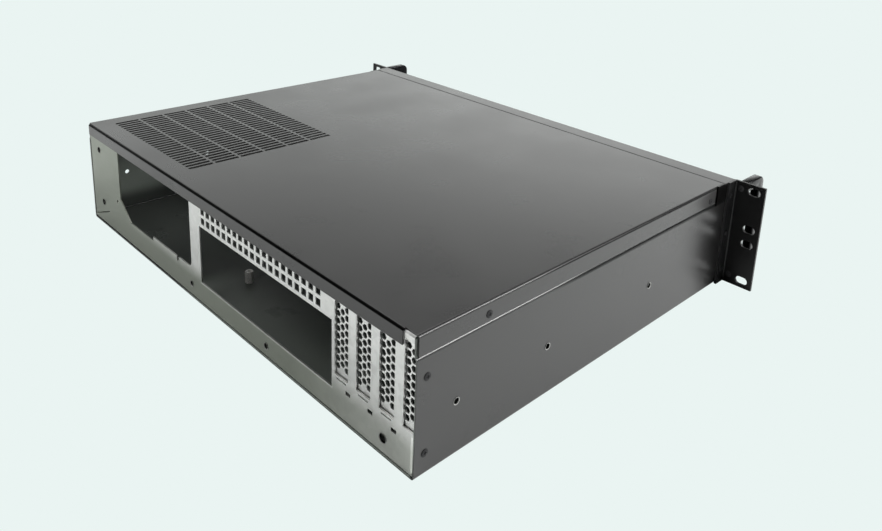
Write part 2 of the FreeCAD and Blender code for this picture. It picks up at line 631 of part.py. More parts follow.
def drive_cage():
    """Folded cage for drives, standing on two feet, with fixing slots in its walls and two windows on top."""
    half = CAGE_INNER_W / 2 + INNER_T / 2
    floor_z = TRAY_T + INNER_T / 2
    top = CAGE_H - INNER_T / 2
    section = [(CAGE_X - half - CAGE_FOOT, floor_z), (CAGE_X - half, floor_z), (CAGE_X - half, top),
               (CAGE_X + half, top), (CAGE_X + half, floor_z), (CAGE_X + half + CAGE_FOOT, floor_z)]
    start_y = FRONT_Y + CAGE_FROM_FRONT
    middle_y = start_y + CAGE_L / 2
    cage = folded_section(section, INNER_T, on_xz(start_y)).extrude(Vector(0, CAGE_L, 0))
    tools = []
    left, right = CAGE_X - half - OVERCUT, CAGE_X + half + OVERCUT
    for shift in (-1, 0, 1):
        y = middle_y + shift * CAGE_SLOT_PITCH
        tools.append(block(left, right, y - CAGE_SLOT_L / 2, y + CAGE_SLOT_L / 2,
                           CAGE_SLOT_Z - CAGE_SLOT_H / 2, CAGE_SLOT_Z + CAGE_SLOT_H / 2))
    left, right = CAGE_X - CAGE_WINDOW_W / 2, CAGE_X + CAGE_WINDOW_W / 2
    for shift in (-0.5, 0.5):
        y = middle_y + shift * (CAGE_WINDOW_L + CAGE_SLOT_L)
        tools.append(block(left, right, y - CAGE_WINDOW_L / 2, y + CAGE_WINDOW_L / 2,
                           CAGE_H - 2 * INNER_T, CAGE_H + OVERCUT))
    return cage.cut(tools)


def control_housing():
    """Moulded plate behind the front panel, with a guide for each button and posts for the control board."""
    y0 = FRONT_IN_Y
    plate_y = y0 + HOUSING_T
    left, right = CONTROL_LEFT_X, CONTROL_LEFT_X + CONTROL_W
    low, high = CONTROL_Z - CONTROL_H / 2, CONTROL_Z + CONTROL_H / 2
    added = [block(x, x + POST, y0, y0 + BOARD_BEHIND, z, z + POST)
             for x in (left, right - POST) for z in (low, high - POST)]
    for x, half in ((CONTROL_X, POWER_R), (RESET_X, RESET_HALF)):
        side = half + BUTTON_GAP + GUIDE_WALL
        added.append(block(x - side, x + side, y0, plate_y + GUIDE_L, BUTTON_Z - side, BUTTON_Z + side))
    housing = block(left, right, y0, plate_y, low, high).fuse(added).removeSplitter()
    near_y, far_y = y0 - OVERCUT, plate_y + GUIDE_L + OVERCUT
    through = Vector(0, far_y - near_y, 0)
    cuts = [Part.Face(outline).extrude(through) for outline in control_outlines(on_xz(near_y))]
    cuts.append(tube_y(CONTROL_X, near_y, far_y, BUTTON_Z, POWER_R + BUTTON_GAP))
    return housing.cut(cuts)


def power_button():
    """Round push button through the panel and its guide, kept in by a square collar behind the guide."""
    collar_y = FRONT_IN_Y + HOUSING_T + GUIDE_L + BUTTON_GAP
    cap = tube_y(CONTROL_X, FRONT_Y - BUTTON_PROUD, collar_y, BUTTON_Z, POWER_R)
    return cap.fuse(button_collar(CONTROL_X, POWER_R + BUTTON_COLLAR, collar_y))


def reset_button():
    """Small square push button, kept in like the power button."""
    collar_y = FRONT_IN_Y + HOUSING_T + GUIDE_L + BUTTON_GAP
    cap = block(RESET_X - RESET_HALF, RESET_X + RESET_HALF, FRONT_Y - BUTTON_PROUD, collar_y,
                BUTTON_Z - RESET_HALF, BUTTON_Z + RESET_HALF)
    return cap.fuse(button_collar(RESET_X, RESET_HALF + BUTTON_COLLAR, collar_y))


def button_collar(x, half, y):
    """Square collar that stops a button at its guide."""
    return block(x - half, x + half, y, y + BUTTON_COLLAR_T, BUTTON_Z - half, BUTTON_Z + half)


def control_board():
    """Small circuit board on the housing's posts."""
    y0 = FRONT_IN_Y + BOARD_BEHIND
    return block(CONTROL_LEFT_X, CONTROL_LEFT_X + CONTROL_W, y0, y0 + CONTROL_BOARD_T,
                 CONTROL_Z - CONTROL_H / 2, CONTROL_Z + CONTROL_H / 2)


def switch_body(x):
    """Small switch on the board, behind a button and clear of its travel."""
    y1 = FRONT_IN_Y + BOARD_BEHIND
    half = SWITCH_SIZE / 2
    return block(x - half, x + half, y1 - SWITCH_H, y1, BUTTON_Z - half, BUTTON_Z + half)


def lens(x, z):
    """Light guide from the board to the panel's face."""
    w, h = LENS_W / 2, LENS_H / 2
    return block(x - w, x + w, FRONT_Y, FRONT_IN_Y + BOARD_BEHIND, z - h, z + h)


def usb_socket(x, z):
    """Socket with its metal shell and the tongue inside."""
    y0, y1 = FRONT_Y, FRONT_IN_Y + BOARD_BEHIND
    w, h = USB_W / 2, USB_H / 2
    shell = block(x - w, x + w, y0, y1, z - h, z + h)
    end_y = y1 - USB_WALL
    mouth_w, mouth_h = w - USB_WALL, h - USB_WALL
    shell = shell.cut(block(x - mouth_w, x + mouth_w, y0 - OVERCUT, end_y, z - mouth_h, z + mouth_h))
    tongue_w = mouth_w - USB_WALL
    tongue = block(x - tongue_w, x + tongue_w, end_y - USB_TONGUE_L, end_y,
                   z - USB_TONGUE_T / 2, z + USB_TONGUE_T / 2)
    return shell.fuse(tongue)


os.makedirs("parts", exist_ok=True)
save("chassis_tray", chassis_tray())
save("rear_panel", rear_panel())
save("top_cover", top_cover())
save("front_panel", front_panel())
ear = rack_ear()
save("rack_ear_right", ear)
save("rack_ear_left", mirrored(ear))
grip = handle()
save("handle_right", grip)
save("handle_left", mirrored(grip))
for number in range(SLOT_COVERS - 1):
    save("slot_cover_" + str(number + 1), slot_cover(number))
save("slot_cover_" + str(SLOT_COVERS), edge_cover())
save("board_standoffs", *board_standoffs())
save("cross_bar", cross_bar())
save("drive_cage", drive_cage())
save("control_housing", control_housing())
save("control_board", control_board())
save("power_button", power_button())
save("reset_button", reset_button())
save("button_switches", switch_body(CONTROL_X), switch_body(RESET_X))
save("indicator_lenses", *[lens(x, z) for x, z in LENSES])
save("usb_sockets", *[usb_socket(x, z) for x, z in USB_SOCKETS])
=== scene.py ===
"""Empty two-unit rackmount case: black satin sheet with a bare galvanised rear, on a pale studio floor."""
import bpy
import math
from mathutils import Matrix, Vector


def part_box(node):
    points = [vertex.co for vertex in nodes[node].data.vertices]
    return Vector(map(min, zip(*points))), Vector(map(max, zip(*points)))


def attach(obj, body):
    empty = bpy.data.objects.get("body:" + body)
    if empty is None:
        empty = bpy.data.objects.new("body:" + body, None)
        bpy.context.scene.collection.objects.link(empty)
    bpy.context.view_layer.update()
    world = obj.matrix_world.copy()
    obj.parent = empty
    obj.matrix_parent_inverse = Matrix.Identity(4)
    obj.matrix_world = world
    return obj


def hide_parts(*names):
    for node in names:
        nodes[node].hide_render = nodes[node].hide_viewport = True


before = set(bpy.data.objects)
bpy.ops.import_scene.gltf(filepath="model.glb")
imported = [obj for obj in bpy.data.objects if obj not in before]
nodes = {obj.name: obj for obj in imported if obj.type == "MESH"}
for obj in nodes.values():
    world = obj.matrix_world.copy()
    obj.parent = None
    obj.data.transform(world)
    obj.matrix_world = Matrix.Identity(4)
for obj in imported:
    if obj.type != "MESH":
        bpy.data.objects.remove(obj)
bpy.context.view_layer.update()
mm = 0.001


# Camera
# Behind and above the case, off its left side, as in the photograph. The picture's optical centre lies
# above its middle, so the lens is shifted.
PICTURE = (882, 531)
FOCAL_PIXELS = 798.2
OPTICAL_CENTRE = (466.7, 87.1)
CAMERA_PLACE = (-0.4748, 0.4083, 0.3178)
CAMERA_TURN = (74.451, -2.666, -134.953)

bpy.ops.object.camera_add(location=CAMERA_PLACE, rotation=[math.radians(a) for a in CAMERA_TURN])
camera = bpy.context.object
camera.name = "camera"
camera.data.sensor_width = 36.0
camera.data.lens = camera.data.sensor_width * FOCAL_PIXELS / PICTURE[0]
camera.data.shift_x = (PICTURE[0] / 2 - OPTICAL_CENTRE[0]) / PICTURE[0]
camera.data.shift_y = (OPTICAL_CENTRE[1] - PICTURE[1] / 2) / PICTURE[0]
camera.data.clip_start = 0.01
bpy.context.scene.camera = camera
bpy.context.scene.view_settings.view_transform = "Standard"


# Tray
# Floor and side walls folded from one steel sheet, powder coated satin black. The paler tones inside are
# painted light and shade, and the dark ones along the folds painted dark reflection and shade, all fitted
# to the photograph by place. They aren't known of the real coat.
class Wave:
    """A socket of a node tree, used in sums like a number."""

    def __init__(self, tree, socket):
        self.tree = tree
        self.socket = socket

    def node(self, kind, settings, sockets, output=0):
        """Add a node to this tree, with its settings and what its sockets take."""
        made = self.tree.nodes.new(kind)
        for name, value in settings.items():
            setattr(made, name, value)
        for name, value in sockets.items():
            plug(self.tree, value, made.inputs[name])
        return Wave(self.tree, made.outputs[output])

    def maths(self, operation, *values):
        return self.node("ShaderNodeMath", {"operation": operation}, dict(enumerate(values)))

    def __add__(self, other):
        return self.maths("ADD", self, other)

    def __radd__(self, other):
        return self.maths("ADD", other, self)

    def __sub__(self, other):
        return self.maths("SUBTRACT", self, other)

    def __rsub__(self, other):
        return self.maths("SUBTRACT", other, self)

    def __mul__(self, other):
        return self.maths("MULTIPLY", self, other)

    def __rmul__(self, other):
        return self.maths("MULTIPLY", other, self)

    def size(self):
        """The value without its sign."""
        return self.maths("ABSOLUTE", self)

    def between(self, low, high, start=0.0, end=1.0):
        """Start below low, end above high and a smooth change from one to the other between them."""
        return self.node("ShaderNodeMapRange", {"interpolation_type": "SMOOTHSTEP"},
                         {"Value": self, "From Min": low, "From Max": high, "To Min": start, "To Max": end})

    def tint(self, first, second):
        """Colour that goes from first to second as this value goes from 0 to 1."""
        return self.node("ShaderNodeMix", {"data_type": "RGBA"}, {0: self, 6: first, 7: second}, 2)


def plug(tree, value, socket):
    """Feed a Wave, a number or a colour into a socket."""
    if isinstance(value, Wave):
        tree.links.new(value.socket, socket)
    elif isinstance(value, tuple) and len(value) < len(socket.default_value):
        socket.default_value = value + (1.0,)
    else:
        socket.default_value = value


class Finish:
    """A surface finish: one Principled shader, with patterns on the piece's own coordinates."""

    def __init__(self, name):
        self.material = bpy.data.materials.new(name)
        self.material.use_nodes = True
        self.tree = self.material.node_tree
        self.shader = self.tree.nodes["Principled BSDF"]
        coordinates = self.tree.nodes.new("ShaderNodeTexCoord")
        self.place = Wave(self.tree, coordinates.outputs["Object"])

    def axes(self):
        """The piece's own three coordinates, in metres."""
        return [self.place.node("ShaderNodeSeparateXYZ", {}, {0: self.place}, i) for i in range(3)]

    def noise(self, size, detail=2.0, stretch=(1.0, 1.0, 1.0)):
        """Cloudy pattern with features of about that size in metres."""
        place = self.place.node("ShaderNodeMapping", {}, {"Vector": self.place, "Scale": stretch})
        return self.place.node("ShaderNodeTexNoise", {},
                               {"Vector": place, "Scale": 1.0 / size, "Detail": detail})

    def crystals(self, size):
        """A random grey for each cell of about that size in metres."""
        cells = self.place.node("ShaderNodeTexVoronoi", {}, {"Vector": self.place, "Scale": 1.0 / size},
                                "Color")
        return self.place.node("ShaderNodeSeparateColor", {}, {"Color": cells})

    def set(self, **sockets):
        for name, value in sockets.items():
            plug(self.tree, value, self.shader.inputs[name.replace("_", " ")])

    def bump(self, height, depth):
        """Raise and sink the surface by that pattern, at most by depth in metres."""
        self.set(Normal=self.place.node("ShaderNodeBump", {}, {"Height": height, "Distance": depth},
                                        "Normal"))


BLACK = (0.020, 0.0195, 0.0195)
# Near black of the painted dark reflection, laid where a coat's dark mask is one.
PAINTED_SHADE_BLACK = (0.004, 0.004, 0.004)
COAT_ROUGHNESS = 0.28
COAT_CLOUD = 60 * mm
COAT_GRAIN = 0.5 * mm
GRAIN_DEPTH = 0.008 * mm


def satin_coat(name, shade, roughness, inner=None, dark=None):
    """Powder coat: a fine grain that spreads what it mirrors, and slow changes where it lies thicker.

    inner gives the colour of faces inside the case, with painted light and shade, from that of the outer
    ones.
    dark is one where the coat is painted near black and mirrors almost nothing, a painted dark reflection
    in place of the dark surroundings that the real one mirrors there.
    """
    coat = Finish(name)
    x, y, z = coat.axes()
    cloud = coat.noise(COAT_CLOUD, 3.0)
    grain = coat.noise(COAT_GRAIN)
    colour = cloud.tint(tuple(c * 0.92 for c in shade), tuple(c * 1.08 for c in shade))
    if inner:
        colour = inner(x, y, z, colour)
    # Painted dark reflection: the colour goes to near black and the coat turns metallic, so it mirrors almost
    # nothing.
    if dark:
        depth = dark(x, y, z)
        colour = depth.tint(colour, PAINTED_SHADE_BLACK)
        coat.set(Metallic=depth)
    coat.set(Base_Color=colour)
    coat.set(Roughness=cloud.between(0.3, 0.7, roughness - 0.02, roughness + 0.02) + grain * 0.02)
    coat.bump(grain, GRAIN_DEPTH)
    return coat.material


def dress(material, *names):
    """Give CAD nodes a material."""
    for name in names:
        mesh = nodes[name].data
        mesh.materials.clear()
        mesh.materials.append(material)


# Painted light and shade for the faces inside the case: a lit tone, a shaded tone and a bright band.
INNER_PAINTED_LIGHT = (0.078, 0.088, 0.080)
INNER_PAINTED_SHADE = (0.034, 0.039, 0.035)
INNER_PAINTED_LIGHT_BAND = (0.165, 0.185, 0.165)
TRAY_T = 1.2 * mm
SHOULDER_Z = 73.4 * mm
BLEND = 0.1 * mm
wall_x, rear_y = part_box("chassis_tray")[1][:2]


def tray_inside_painted_light_and_shade(x, y, z, outer):
    """Painted light and shade: paler floor toward the slots, and a wall that is palest low down behind the
    power supply's opening.
    """
    floor = x.between(-110 * mm, 70 * mm).tint(INNER_PAINTED_LIGHT, INNER_PAINTED_SHADE)
    floor = (y.between(105 * mm, 160 * mm) * x.between(30 * mm, 60 * mm, 1.0, 0.0)).tint(floor, INNER_PAINTED_LIGHT_BAND)
    wall = (z.between(8 * mm, 22 * mm) * z.between(26 * mm, 64 * mm, 1.0, 0.25)).tint(INNER_PAINTED_SHADE, INNER_PAINTED_LIGHT_BAND)
    inner = x.size().between(wall_x - 4 * mm, wall_x - 2 * mm).tint(floor, wall)
    inside = x.size().between(wall_x - TRAY_T / 2 - BLEND, wall_x - TRAY_T / 2 + BLEND, 1.0, 0.0)
    inside = inside * z.between(TRAY_T / 2 - BLEND, TRAY_T / 2 + BLEND)
    return inside.tint(outer, inner)


def tray_painted_shade(x, y, z):
    """Painted dark reflection high on the front part of the walls' shoulder, fading in toward the ears, and
    painted shade in the floor's creases.
    """
    shoulder = z.between(SHOULDER_Z - 1.4 * mm, SHOULDER_Z - 1.2 * mm) * y.between(20 * mm, 70 * mm, 1.0, 0.0)
    walls = shoulder * 0.85 + y.between(-156 * mm, -112 * mm, 1.0, 0.0) * (1 - shoulder) * 0.45
    across = x.size()
    crease = across.between(wall_x - 2.8 * mm, wall_x - 2.4 * mm)
    crease = crease * across.between(wall_x - 0.9 * mm, wall_x - 0.7 * mm, 1.0, 0.0)
    crease = crease * z.between(0.7 * mm, 0.9 * mm) * z.between(2.4 * mm, 2.8 * mm, 1.0, 0.0)
    return walls + crease * (1 - walls) * 0.55


dress(satin_coat("tray_coat", BLACK, COAT_ROUGHNESS, tray_inside_painted_light_and_shade, tray_painted_shade), "chassis_tray")


# Holes for the rack rails
# Three holes a side, punched after coating. Each has a bare, slightly broken steel edge, and painted shade
# deeper in its bore.
def deselect():
    bpy.ops.object.select_all(action="DESELECT")


def choose(piece, wanted, kind="FACE"):
    """Select the faces or corners of the piece in edit mode for which wanted is true, by place and normal."""
    bpy.ops.mesh.select_mode(type=kind)
    bpy.ops.mesh.select_all(action="DESELECT")
    bpy.ops.object.mode_set(mode="OBJECT")
    for part in piece.data.polygons if kind == "FACE" else piece.data.vertices:
        part.select = bool(wanted(part.center if kind == "FACE" else part.co, part.normal))
    bpy.ops.object.mode_set(mode="EDIT")


def begin(kind, **sizes):
    """Add a primitive with nothing else selected, settle it in place and open it in edit mode."""
    deselect()
    getattr(bpy.ops.mesh, "primitive_" + kind + "_add")(**sizes)
    bpy.ops.object.transform_apply(location=True, rotation=True, scale=True)
    bpy.ops.object.mode_set(mode="EDIT")
    return bpy.context.object


def close(piece, smooth=35.0):
    """Leave edit mode with clean outward faces, smooth but for its sharp edges."""
    bpy.ops.mesh.select_all(action="SELECT")
    bpy.ops.mesh.remove_doubles(threshold=0.001 * mm)
    bpy.ops.mesh.normals_make_consistent(inside=False)
    bpy.ops.object.mode_set(mode="OBJECT")
    bpy.ops.object.shade_smooth_by_angle(angle=math.radians(smooth))


def place_copy(master, name, place, facing, material):
    """Copy a modelled piece to a place, with its top turned to face that way, and let it ride the case."""
    piece = master.copy()
    piece.data = master.data.copy()
    piece.name = name
    bpy.context.collection.objects.link(piece)
    piece.location = place
    piece.rotation_euler = Vector(facing).to_track_quat("Z", "Y").to_euler()
    deselect()
    piece.select_set(True)
    bpy.context.view_layer.objects.active = piece
    bpy.ops.object.transform_apply(location=True, rotation=True, scale=True)
    piece.data.materials.clear()
    piece.data.materials.append(material)
    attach(piece, "case")
    return piece


def drop(master):
    bpy.data.objects.remove(master)


def plain(name, dark, light, roughness, metallic=0.0):
    """A small part's finish, with a soft cloud of colour and a fine grain."""
    finish = Finish(name)
    grain = finish.noise(0.4 * mm)
    finish.set(Base_Color=finish.noise(4 * mm, 3.0).tint(dark, light), Metallic=metallic)
    finish.set(Roughness=grain.between(0.2, 0.8, roughness - 0.04, roughness + 0.06))
    finish.bump(grain, GRAIN_DEPTH)
    return finish.material


RAIL_HOLE_R = 2.1 * mm
RAIL_HOLES_FROM_REAR = (29.9, 108.2, 221.6)
RAIL_HOLE_Z = 35.5 * mm
UNSHADED_DEPTH = 0.35 * mm
RIM_RISE = 0.25 * mm
RIM_WIDTH = 0.32 * mm
SLEEVE_T = 0.16 * mm
NEAR = 0.1 * mm

edge_steel = Finish("bare_steel_edge_shaded_bore")
x, y, z = edge_steel.axes()
# Bright bare steel at the hole's mouth, and painted shade that darkens the bore to near black deeper in.
unshaded_mouth = x.size().between(wall_x - UNSHADED_DEPTH - BLEND, wall_x - UNSHADED_DEPTH)
unshaded_mouth = unshaded_mouth + y.between(rear_y - UNSHADED_DEPTH - BLEND, rear_y - UNSHADED_DEPTH) * (1 - unshaded_mouth)
bright_steel = edge_steel.noise(2 * mm).tint((0.26, 0.26, 0.25), (0.42, 0.42, 0.41))
edge_steel.set(Base_Color=unshaded_mouth.tint((0.03, 0.03, 0.03), bright_steel), Metallic=1.0)
edge_steel.set(Roughness=edge_steel.noise(0.4 * mm).between(0.2, 0.8, 0.26, 0.36))
bare_edge_and_bore_shade = edge_steel.material


def hole_edge(radius, depth):
    """Thin sleeve that lines a hole, made upright, with a rolled rim just above the sheet at z = 0."""
    sleeve = begin("cylinder", vertices=40, radius=radius, depth=depth + RIM_RISE, end_fill_type="NOTHING",
                   location=(0, 0, (RIM_RISE - depth) / 2))
    bpy.ops.mesh.normals_make_consistent(inside=False)
    bpy.ops.object.mode_set(mode="OBJECT")
    wall = sleeve.modifiers.new("wall", "SOLIDIFY")
    wall.thickness = SLEEVE_T
    wall.offset = -1.0
    bpy.ops.object.modifier_apply(modifier="wall")
    bpy.ops.object.mode_set(mode="EDIT")
    bpy.ops.mesh.select_all(action="SELECT")
    bpy.ops.mesh.bisect(plane_co=(0, 0, 0), plane_no=(0, 0, 1))
    choose(sleeve, lambda co, n: co.z > RIM_RISE / 2 and co.xy.length > radius - NEAR, "VERT")
    spread = 1 + RIM_WIDTH / radius
    bpy.ops.transform.resize(value=(spread, spread, 1), center_override=(0, 0, RIM_RISE))
    choose(sleeve, lambda co, n: co.z > RIM_RISE / 2 and co.xy.length < radius - NEAR, "VERT")
    bpy.ops.transform.translate(value=(0, 0, -RIM_RISE / 2))
    close(sleeve)
    return sleeve


sleeve = hole_edge(RAIL_HOLE_R, TRAY_T)
for side, name in ((-1, "left"), (1, "right")):
    for number, back in enumerate(RAIL_HOLES_FROM_REAR):
        place_copy(sleeve, "rail_hole_edge_%s_%d" % (name, number + 1),
                   (side * wall_x, rear_y - back * mm, RAIL_HOLE_Z), (side, 0, 0), bare_edge_and_bore_shade)
drop(sleeve)


# Front panel
# Painted sheet that carries the fixed strip along the top, the air slots and the openings of the
# controls. It is coated with the tray and takes the same finish.
FRONT_T = 1.2 * mm
STRIP_UNDER_Z = 86.3 * mm
front_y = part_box("front_panel")[0][1]


def front_inside_painted_shade(x, y, z, outer):
    """Painted shade on the front panel's rear faces, below its top strip."""
    inside = y.between(front_y + FRONT_T / 2 - BLEND, front_y + FRONT_T / 2 + BLEND)
    inside = inside * z.between(STRIP_UNDER_Z - BLEND, STRIP_UNDER_Z + BLEND, 1.0, 0.0)
    return inside.tint(outer, INNER_PAINTED_SHADE)


dress(satin_coat("front_coat", BLACK, COAT_ROUGHNESS, front_inside_painted_shade), "front_panel")


# Rear panel
# Bare zinc-coated steel, cut and folded. The zinc has crystals a few millimetres across, each of a
# slightly different grey and gloss, and a faint draw grain along the coil.
# Painted shade: tone that the rear panel's zinc is multiplied by at its right end and low band.
ZINC_PAINTED_SHADE = (0.40, 0.425, 0.375)
IO_BOTTOM_Z = 18.8 * mm
IO_END_X = (-142 * mm, 18 * mm)


def galvanised(name, dark, light, roughness, painted_shade_mask=None):
    """Zinc coat from a dark to a light tone, and times a painted shade tone where its mask is one."""
    zinc = Finish(name)
    spangle = zinc.crystals(4 * mm) * 0.45 + zinc.noise(14 * mm, 3.0) * 0.55
    draw = zinc.noise(1.2 * mm, 2.0, (0.06, 1.0, 1.0))
    colour = spangle.between(0.1, 0.9).tint(dark, light)
    if painted_shade_mask:
        colour = colour.node("ShaderNodeMix", {"data_type": "RGBA", "blend_type": "MULTIPLY"},
                             {0: painted_shade_mask(*zinc.axes()), 6: colour, 7: ZINC_PAINTED_SHADE}, 2)
    zinc.set(Base_Color=colour, Metallic=1.0)
    zinc.set(Roughness=spangle.between(0.2, 0.8, roughness - 0.05, roughness + 0.05) + draw * 0.04)
    zinc.bump(draw, GRAIN_DEPTH)
    return zinc.material


def rear_zinc_painted_shade(x, y, z):
    """Painted shade where the zinc is fitted to darker tones of the photograph: the right end and the panel's
    low band.

    It is weaker toward the left end, and low on the lip under the opening for the board's connectors,
    which is thus left lighter as a painted highlight.
    """
    low = z.between(IO_BOTTOM_Z - 3 * mm, IO_BOTTOM_Z + 12 * mm, 1.0, 0.0)
    far = x.between(120 * mm, 150 * mm)
    near = x.between(-190 * mm, -90 * mm, 0.62, 1.0)
    painted_lip_highlight = z.between(IO_BOTTOM_Z - 1.6 * mm, IO_BOTTOM_Z - 0.7 * mm)
    painted_lip_highlight = painted_lip_highlight * z.between(IO_BOTTOM_Z + 0.3 * mm, IO_BOTTOM_Z + 0.6 * mm, 1.0, 0.0)
    painted_lip_highlight = painted_lip_highlight * x.between(IO_END_X[0] - mm, IO_END_X[0] + mm)
    painted_lip_highlight = painted_lip_highlight * x.between(IO_END_X[1] - mm, IO_END_X[1] + mm, 1.0, 0.0)
    return (far + low * (1 - far)) * near * (1 - painted_lip_highlight * 0.65)


dress(galvanised("rear_zinc", (0.62, 0.625, 0.61), (0.72, 0.725, 0.71), 0.42, rear_zinc_painted_shade), "rear_panel")


# Bare edges of the rear panel's large holes
# Punched steel edges like those at the rail holes. The first three are bare. The two at the right end
# are made dark all over with painted shade, as they look in the photograph.
REAR_T = 1.0 * mm
REAR_HOLES = ((32.8, 11.1, 2.2), (-69.0, 9.5, 2.2), (-188.8, 11.6, 3.0),
              (195.1, 68.5, 2.2), (192.5, 21.4, 2.4))
BARE_HOLES = 3

# Painted shade: near-black edges for the two holes at the right end.
shaded_edge = plain("painted_shade_steel_edge", (0.020, 0.020, 0.019), (0.034, 0.034, 0.032), 0.5, 0.6)
for number, (x, z, radius) in enumerate(REAR_HOLES):
    sleeve = hole_edge(radius * mm, REAR_T)
    place_copy(sleeve, "rear_hole_edge_%d" % (number + 1), (x * mm, rear_y, z * mm), (0, 1, 0),
               bare_edge_and_bore_shade if number < BARE_HOLES else shaded_edge)
    drop(sleeve)


# Slot covers
# Thin zinc-coated covers behind the expansion openings, brighter than the panel. Three are folded over
# under its top flange and held there by a screw each. The fourth is folded along the side wall.
dress(galvanised("cover_zinc", (0.66, 0.665, 0.65), (0.76, 0.765, 0.75), 0.40),
      "slot_cover_1", "slot_cover_2", "slot_cover_3", "slot_cover_4")


# Board standoffs
# Hexagonal posts in nickel-plated brass, turned with a chamfer at the top and tapped for the screws of
# the board.
STANDOFF_FLATS = 5.5 * mm
STANDOFF_H = 9.5 * mm
STANDOFF_CHAMFER = 0.35 * mm
TAPPING_R = 1.45 * mm
TAPPING_DEPTH = 6.0 * mm
FINE = 0.01 * mm
IO_FIRST_X = 23.35
FIRST_POST_FROM_REAR = 18.8
IO_POST_SHIFT = 22.86
POST_COLUMNS = (0.0, 157.48, 203.2)
POST_ROWS = (0.0, 154.94, 227.33)

nickel = plain("nickel_plate", (0.74, 0.73, 0.70), (0.88, 0.87, 0.84), 0.28, 0.5)
corner_r = STANDOFF_FLATS / 2 / math.cos(math.radians(30))
post = begin("cylinder", vertices=36, radius=corner_r, depth=STANDOFF_H, location=(0, 0, STANDOFF_H / 2))
choose(post, lambda co, n: n.z > 0.9)
bpy.ops.mesh.inset(thickness=STANDOFF_CHAMFER)
choose(post, lambda co, n: co.z > STANDOFF_H - FINE and co.xy.length > corner_r - NEAR, "VERT")
bpy.ops.transform.translate(value=(0, 0, -STANDOFF_CHAMFER))
choose(post, lambda co, n: n.z > 0.9 and co.xy.length < NEAR)
bpy.ops.mesh.inset(thickness=corner_r - STANDOFF_CHAMFER - TAPPING_R)
bpy.ops.mesh.extrude_region_move(TRANSFORM_OT_translate={"value": (0, 0, -TAPPING_DEPTH)})
for flat in range(6):
    angle = math.radians(30 + 60 * flat)
    out = Vector((math.cos(angle), math.sin(angle), 0))
    bpy.ops.mesh.select_all(action="SELECT")
    bpy.ops.mesh.bisect(plane_co=out * STANDOFF_FLATS / 2, plane_no=out, clear_outer=True, use_fill=True)
close(post)
posts = []
for column, across in enumerate(POST_COLUMNS):
    for row, back in enumerate(POST_ROWS):
        if column == row == 0:
            back = IO_POST_SHIFT
        place = (IO_FIRST_X * mm - across * mm, rear_y - (FIRST_POST_FROM_REAR + back) * mm, TRAY_T)
        posts.append(place_copy(post, "board_standoff_%d_%d" % (column + 1, row + 1), place, (0, 0, 1),
                                nickel))
drop(post)
for made in posts:
    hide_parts("board_standoffs")


# Cross bar and drive cage
# Folded zinc-coated brackets inside the case. The cage's feet are screwed to the floor.
dress(galvanised("bracket_zinc", (0.50, 0.53, 0.51), (0.64, 0.66, 0.64), 0.44), "cross_bar", "drive_cage")


RIM_SINK = 0.6
CROSS_WAIST = 0.5
SOCKET_TAPER = 0.7


def screw_head(radius, height, dome, socket_r, socket_depth):
    """Screw head seated on the origin, with a sloped rim as wide as dome and a cross recess."""
    head = begin("cylinder", vertices=32, radius=radius, depth=height, location=(0, 0, height / 2))
    choose(head, lambda co, n: n.z > 0.9)
    bpy.ops.mesh.inset(thickness=dome)
    choose(head, lambda co, n: co.z > height - FINE and co.xy.length > radius - dome / 2, "VERT")
    bpy.ops.transform.translate(value=(0, 0, -dome * RIM_SINK))
    choose(head, lambda co, n: n.z > 0.9 and co.xy.length < NEAR)
    bpy.ops.mesh.inset(thickness=radius - dome - socket_r)
    choose(head, lambda co, n: (co.z > height - FINE and co.xy.length < socket_r + NEAR
                                and min(abs(co.x), abs(co.y)) > 0.35 * socket_r), "VERT")
    bpy.ops.transform.resize(value=(CROSS_WAIST, CROSS_WAIST, 1), center_override=(0, 0, height))
    choose(head, lambda co, n: n.z > 0.9 and co.xy.length < NEAR)
    bpy.ops.mesh.extrude_region_move(TRANSFORM_OT_translate={"value": (0, 0, -socket_depth)})
    bpy.ops.transform.resize(value=(SOCKET_TAPER, SOCKET_TAPER, 1),
                             center_override=(0, 0, height - socket_depth))
    close(head)
    return head


CAGE_T = 1.0 * mm
CAGE_SCREWS_FROM_MIDDLE = 40.0 * mm
FOOT_MIDDLE = 4.6 * mm
SLOT_COVER_T = 0.9 * mm
TAB_SCREW_FROM_END = 4.5 * mm
zinc_screw = plain("zinc_screw", (0.50, 0.50, 0.49), (0.66, 0.66, 0.65), 0.30, 1.0)
black_screw = plain("black_screw", (0.012, 0.012, 0.013), (0.022, 0.022, 0.023), 0.55, 0.6)
cage_low, cage_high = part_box("drive_cage")
cage_middle_y = (cage_low[1] + cage_high[1]) / 2
pan_head = screw_head(radius=2.8 * mm, height=1.6 * mm, dome=0.8 * mm, socket_r=1.4 * mm,
                      socket_depth=1.1 * mm)
cage_places = [(x, cage_middle_y + shift, TRAY_T + CAGE_T)
               for x in (cage_low[0] + FOOT_MIDDLE, cage_high[0] - FOOT_MIDDLE)
               for shift in (-CAGE_SCREWS_FROM_MIDDLE, CAGE_SCREWS_FROM_MIDDLE)]
for number, place in enumerate(cage_places):
    place_copy(pan_head, "cage_screw_%d" % (number + 1), place, (0, 0, 1), zinc_screw)
for number in range(3):
    low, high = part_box("slot_cover_%d" % (number + 1))
    place = ((low[0] + high[0]) / 2, low[1] + TAB_SCREW_FROM_END, high[2] - SLOT_COVER_T)
    place_copy(pan_head, "slot_cover_screw_%d" % (number + 1), place, (0, 0, -1), zinc_screw)


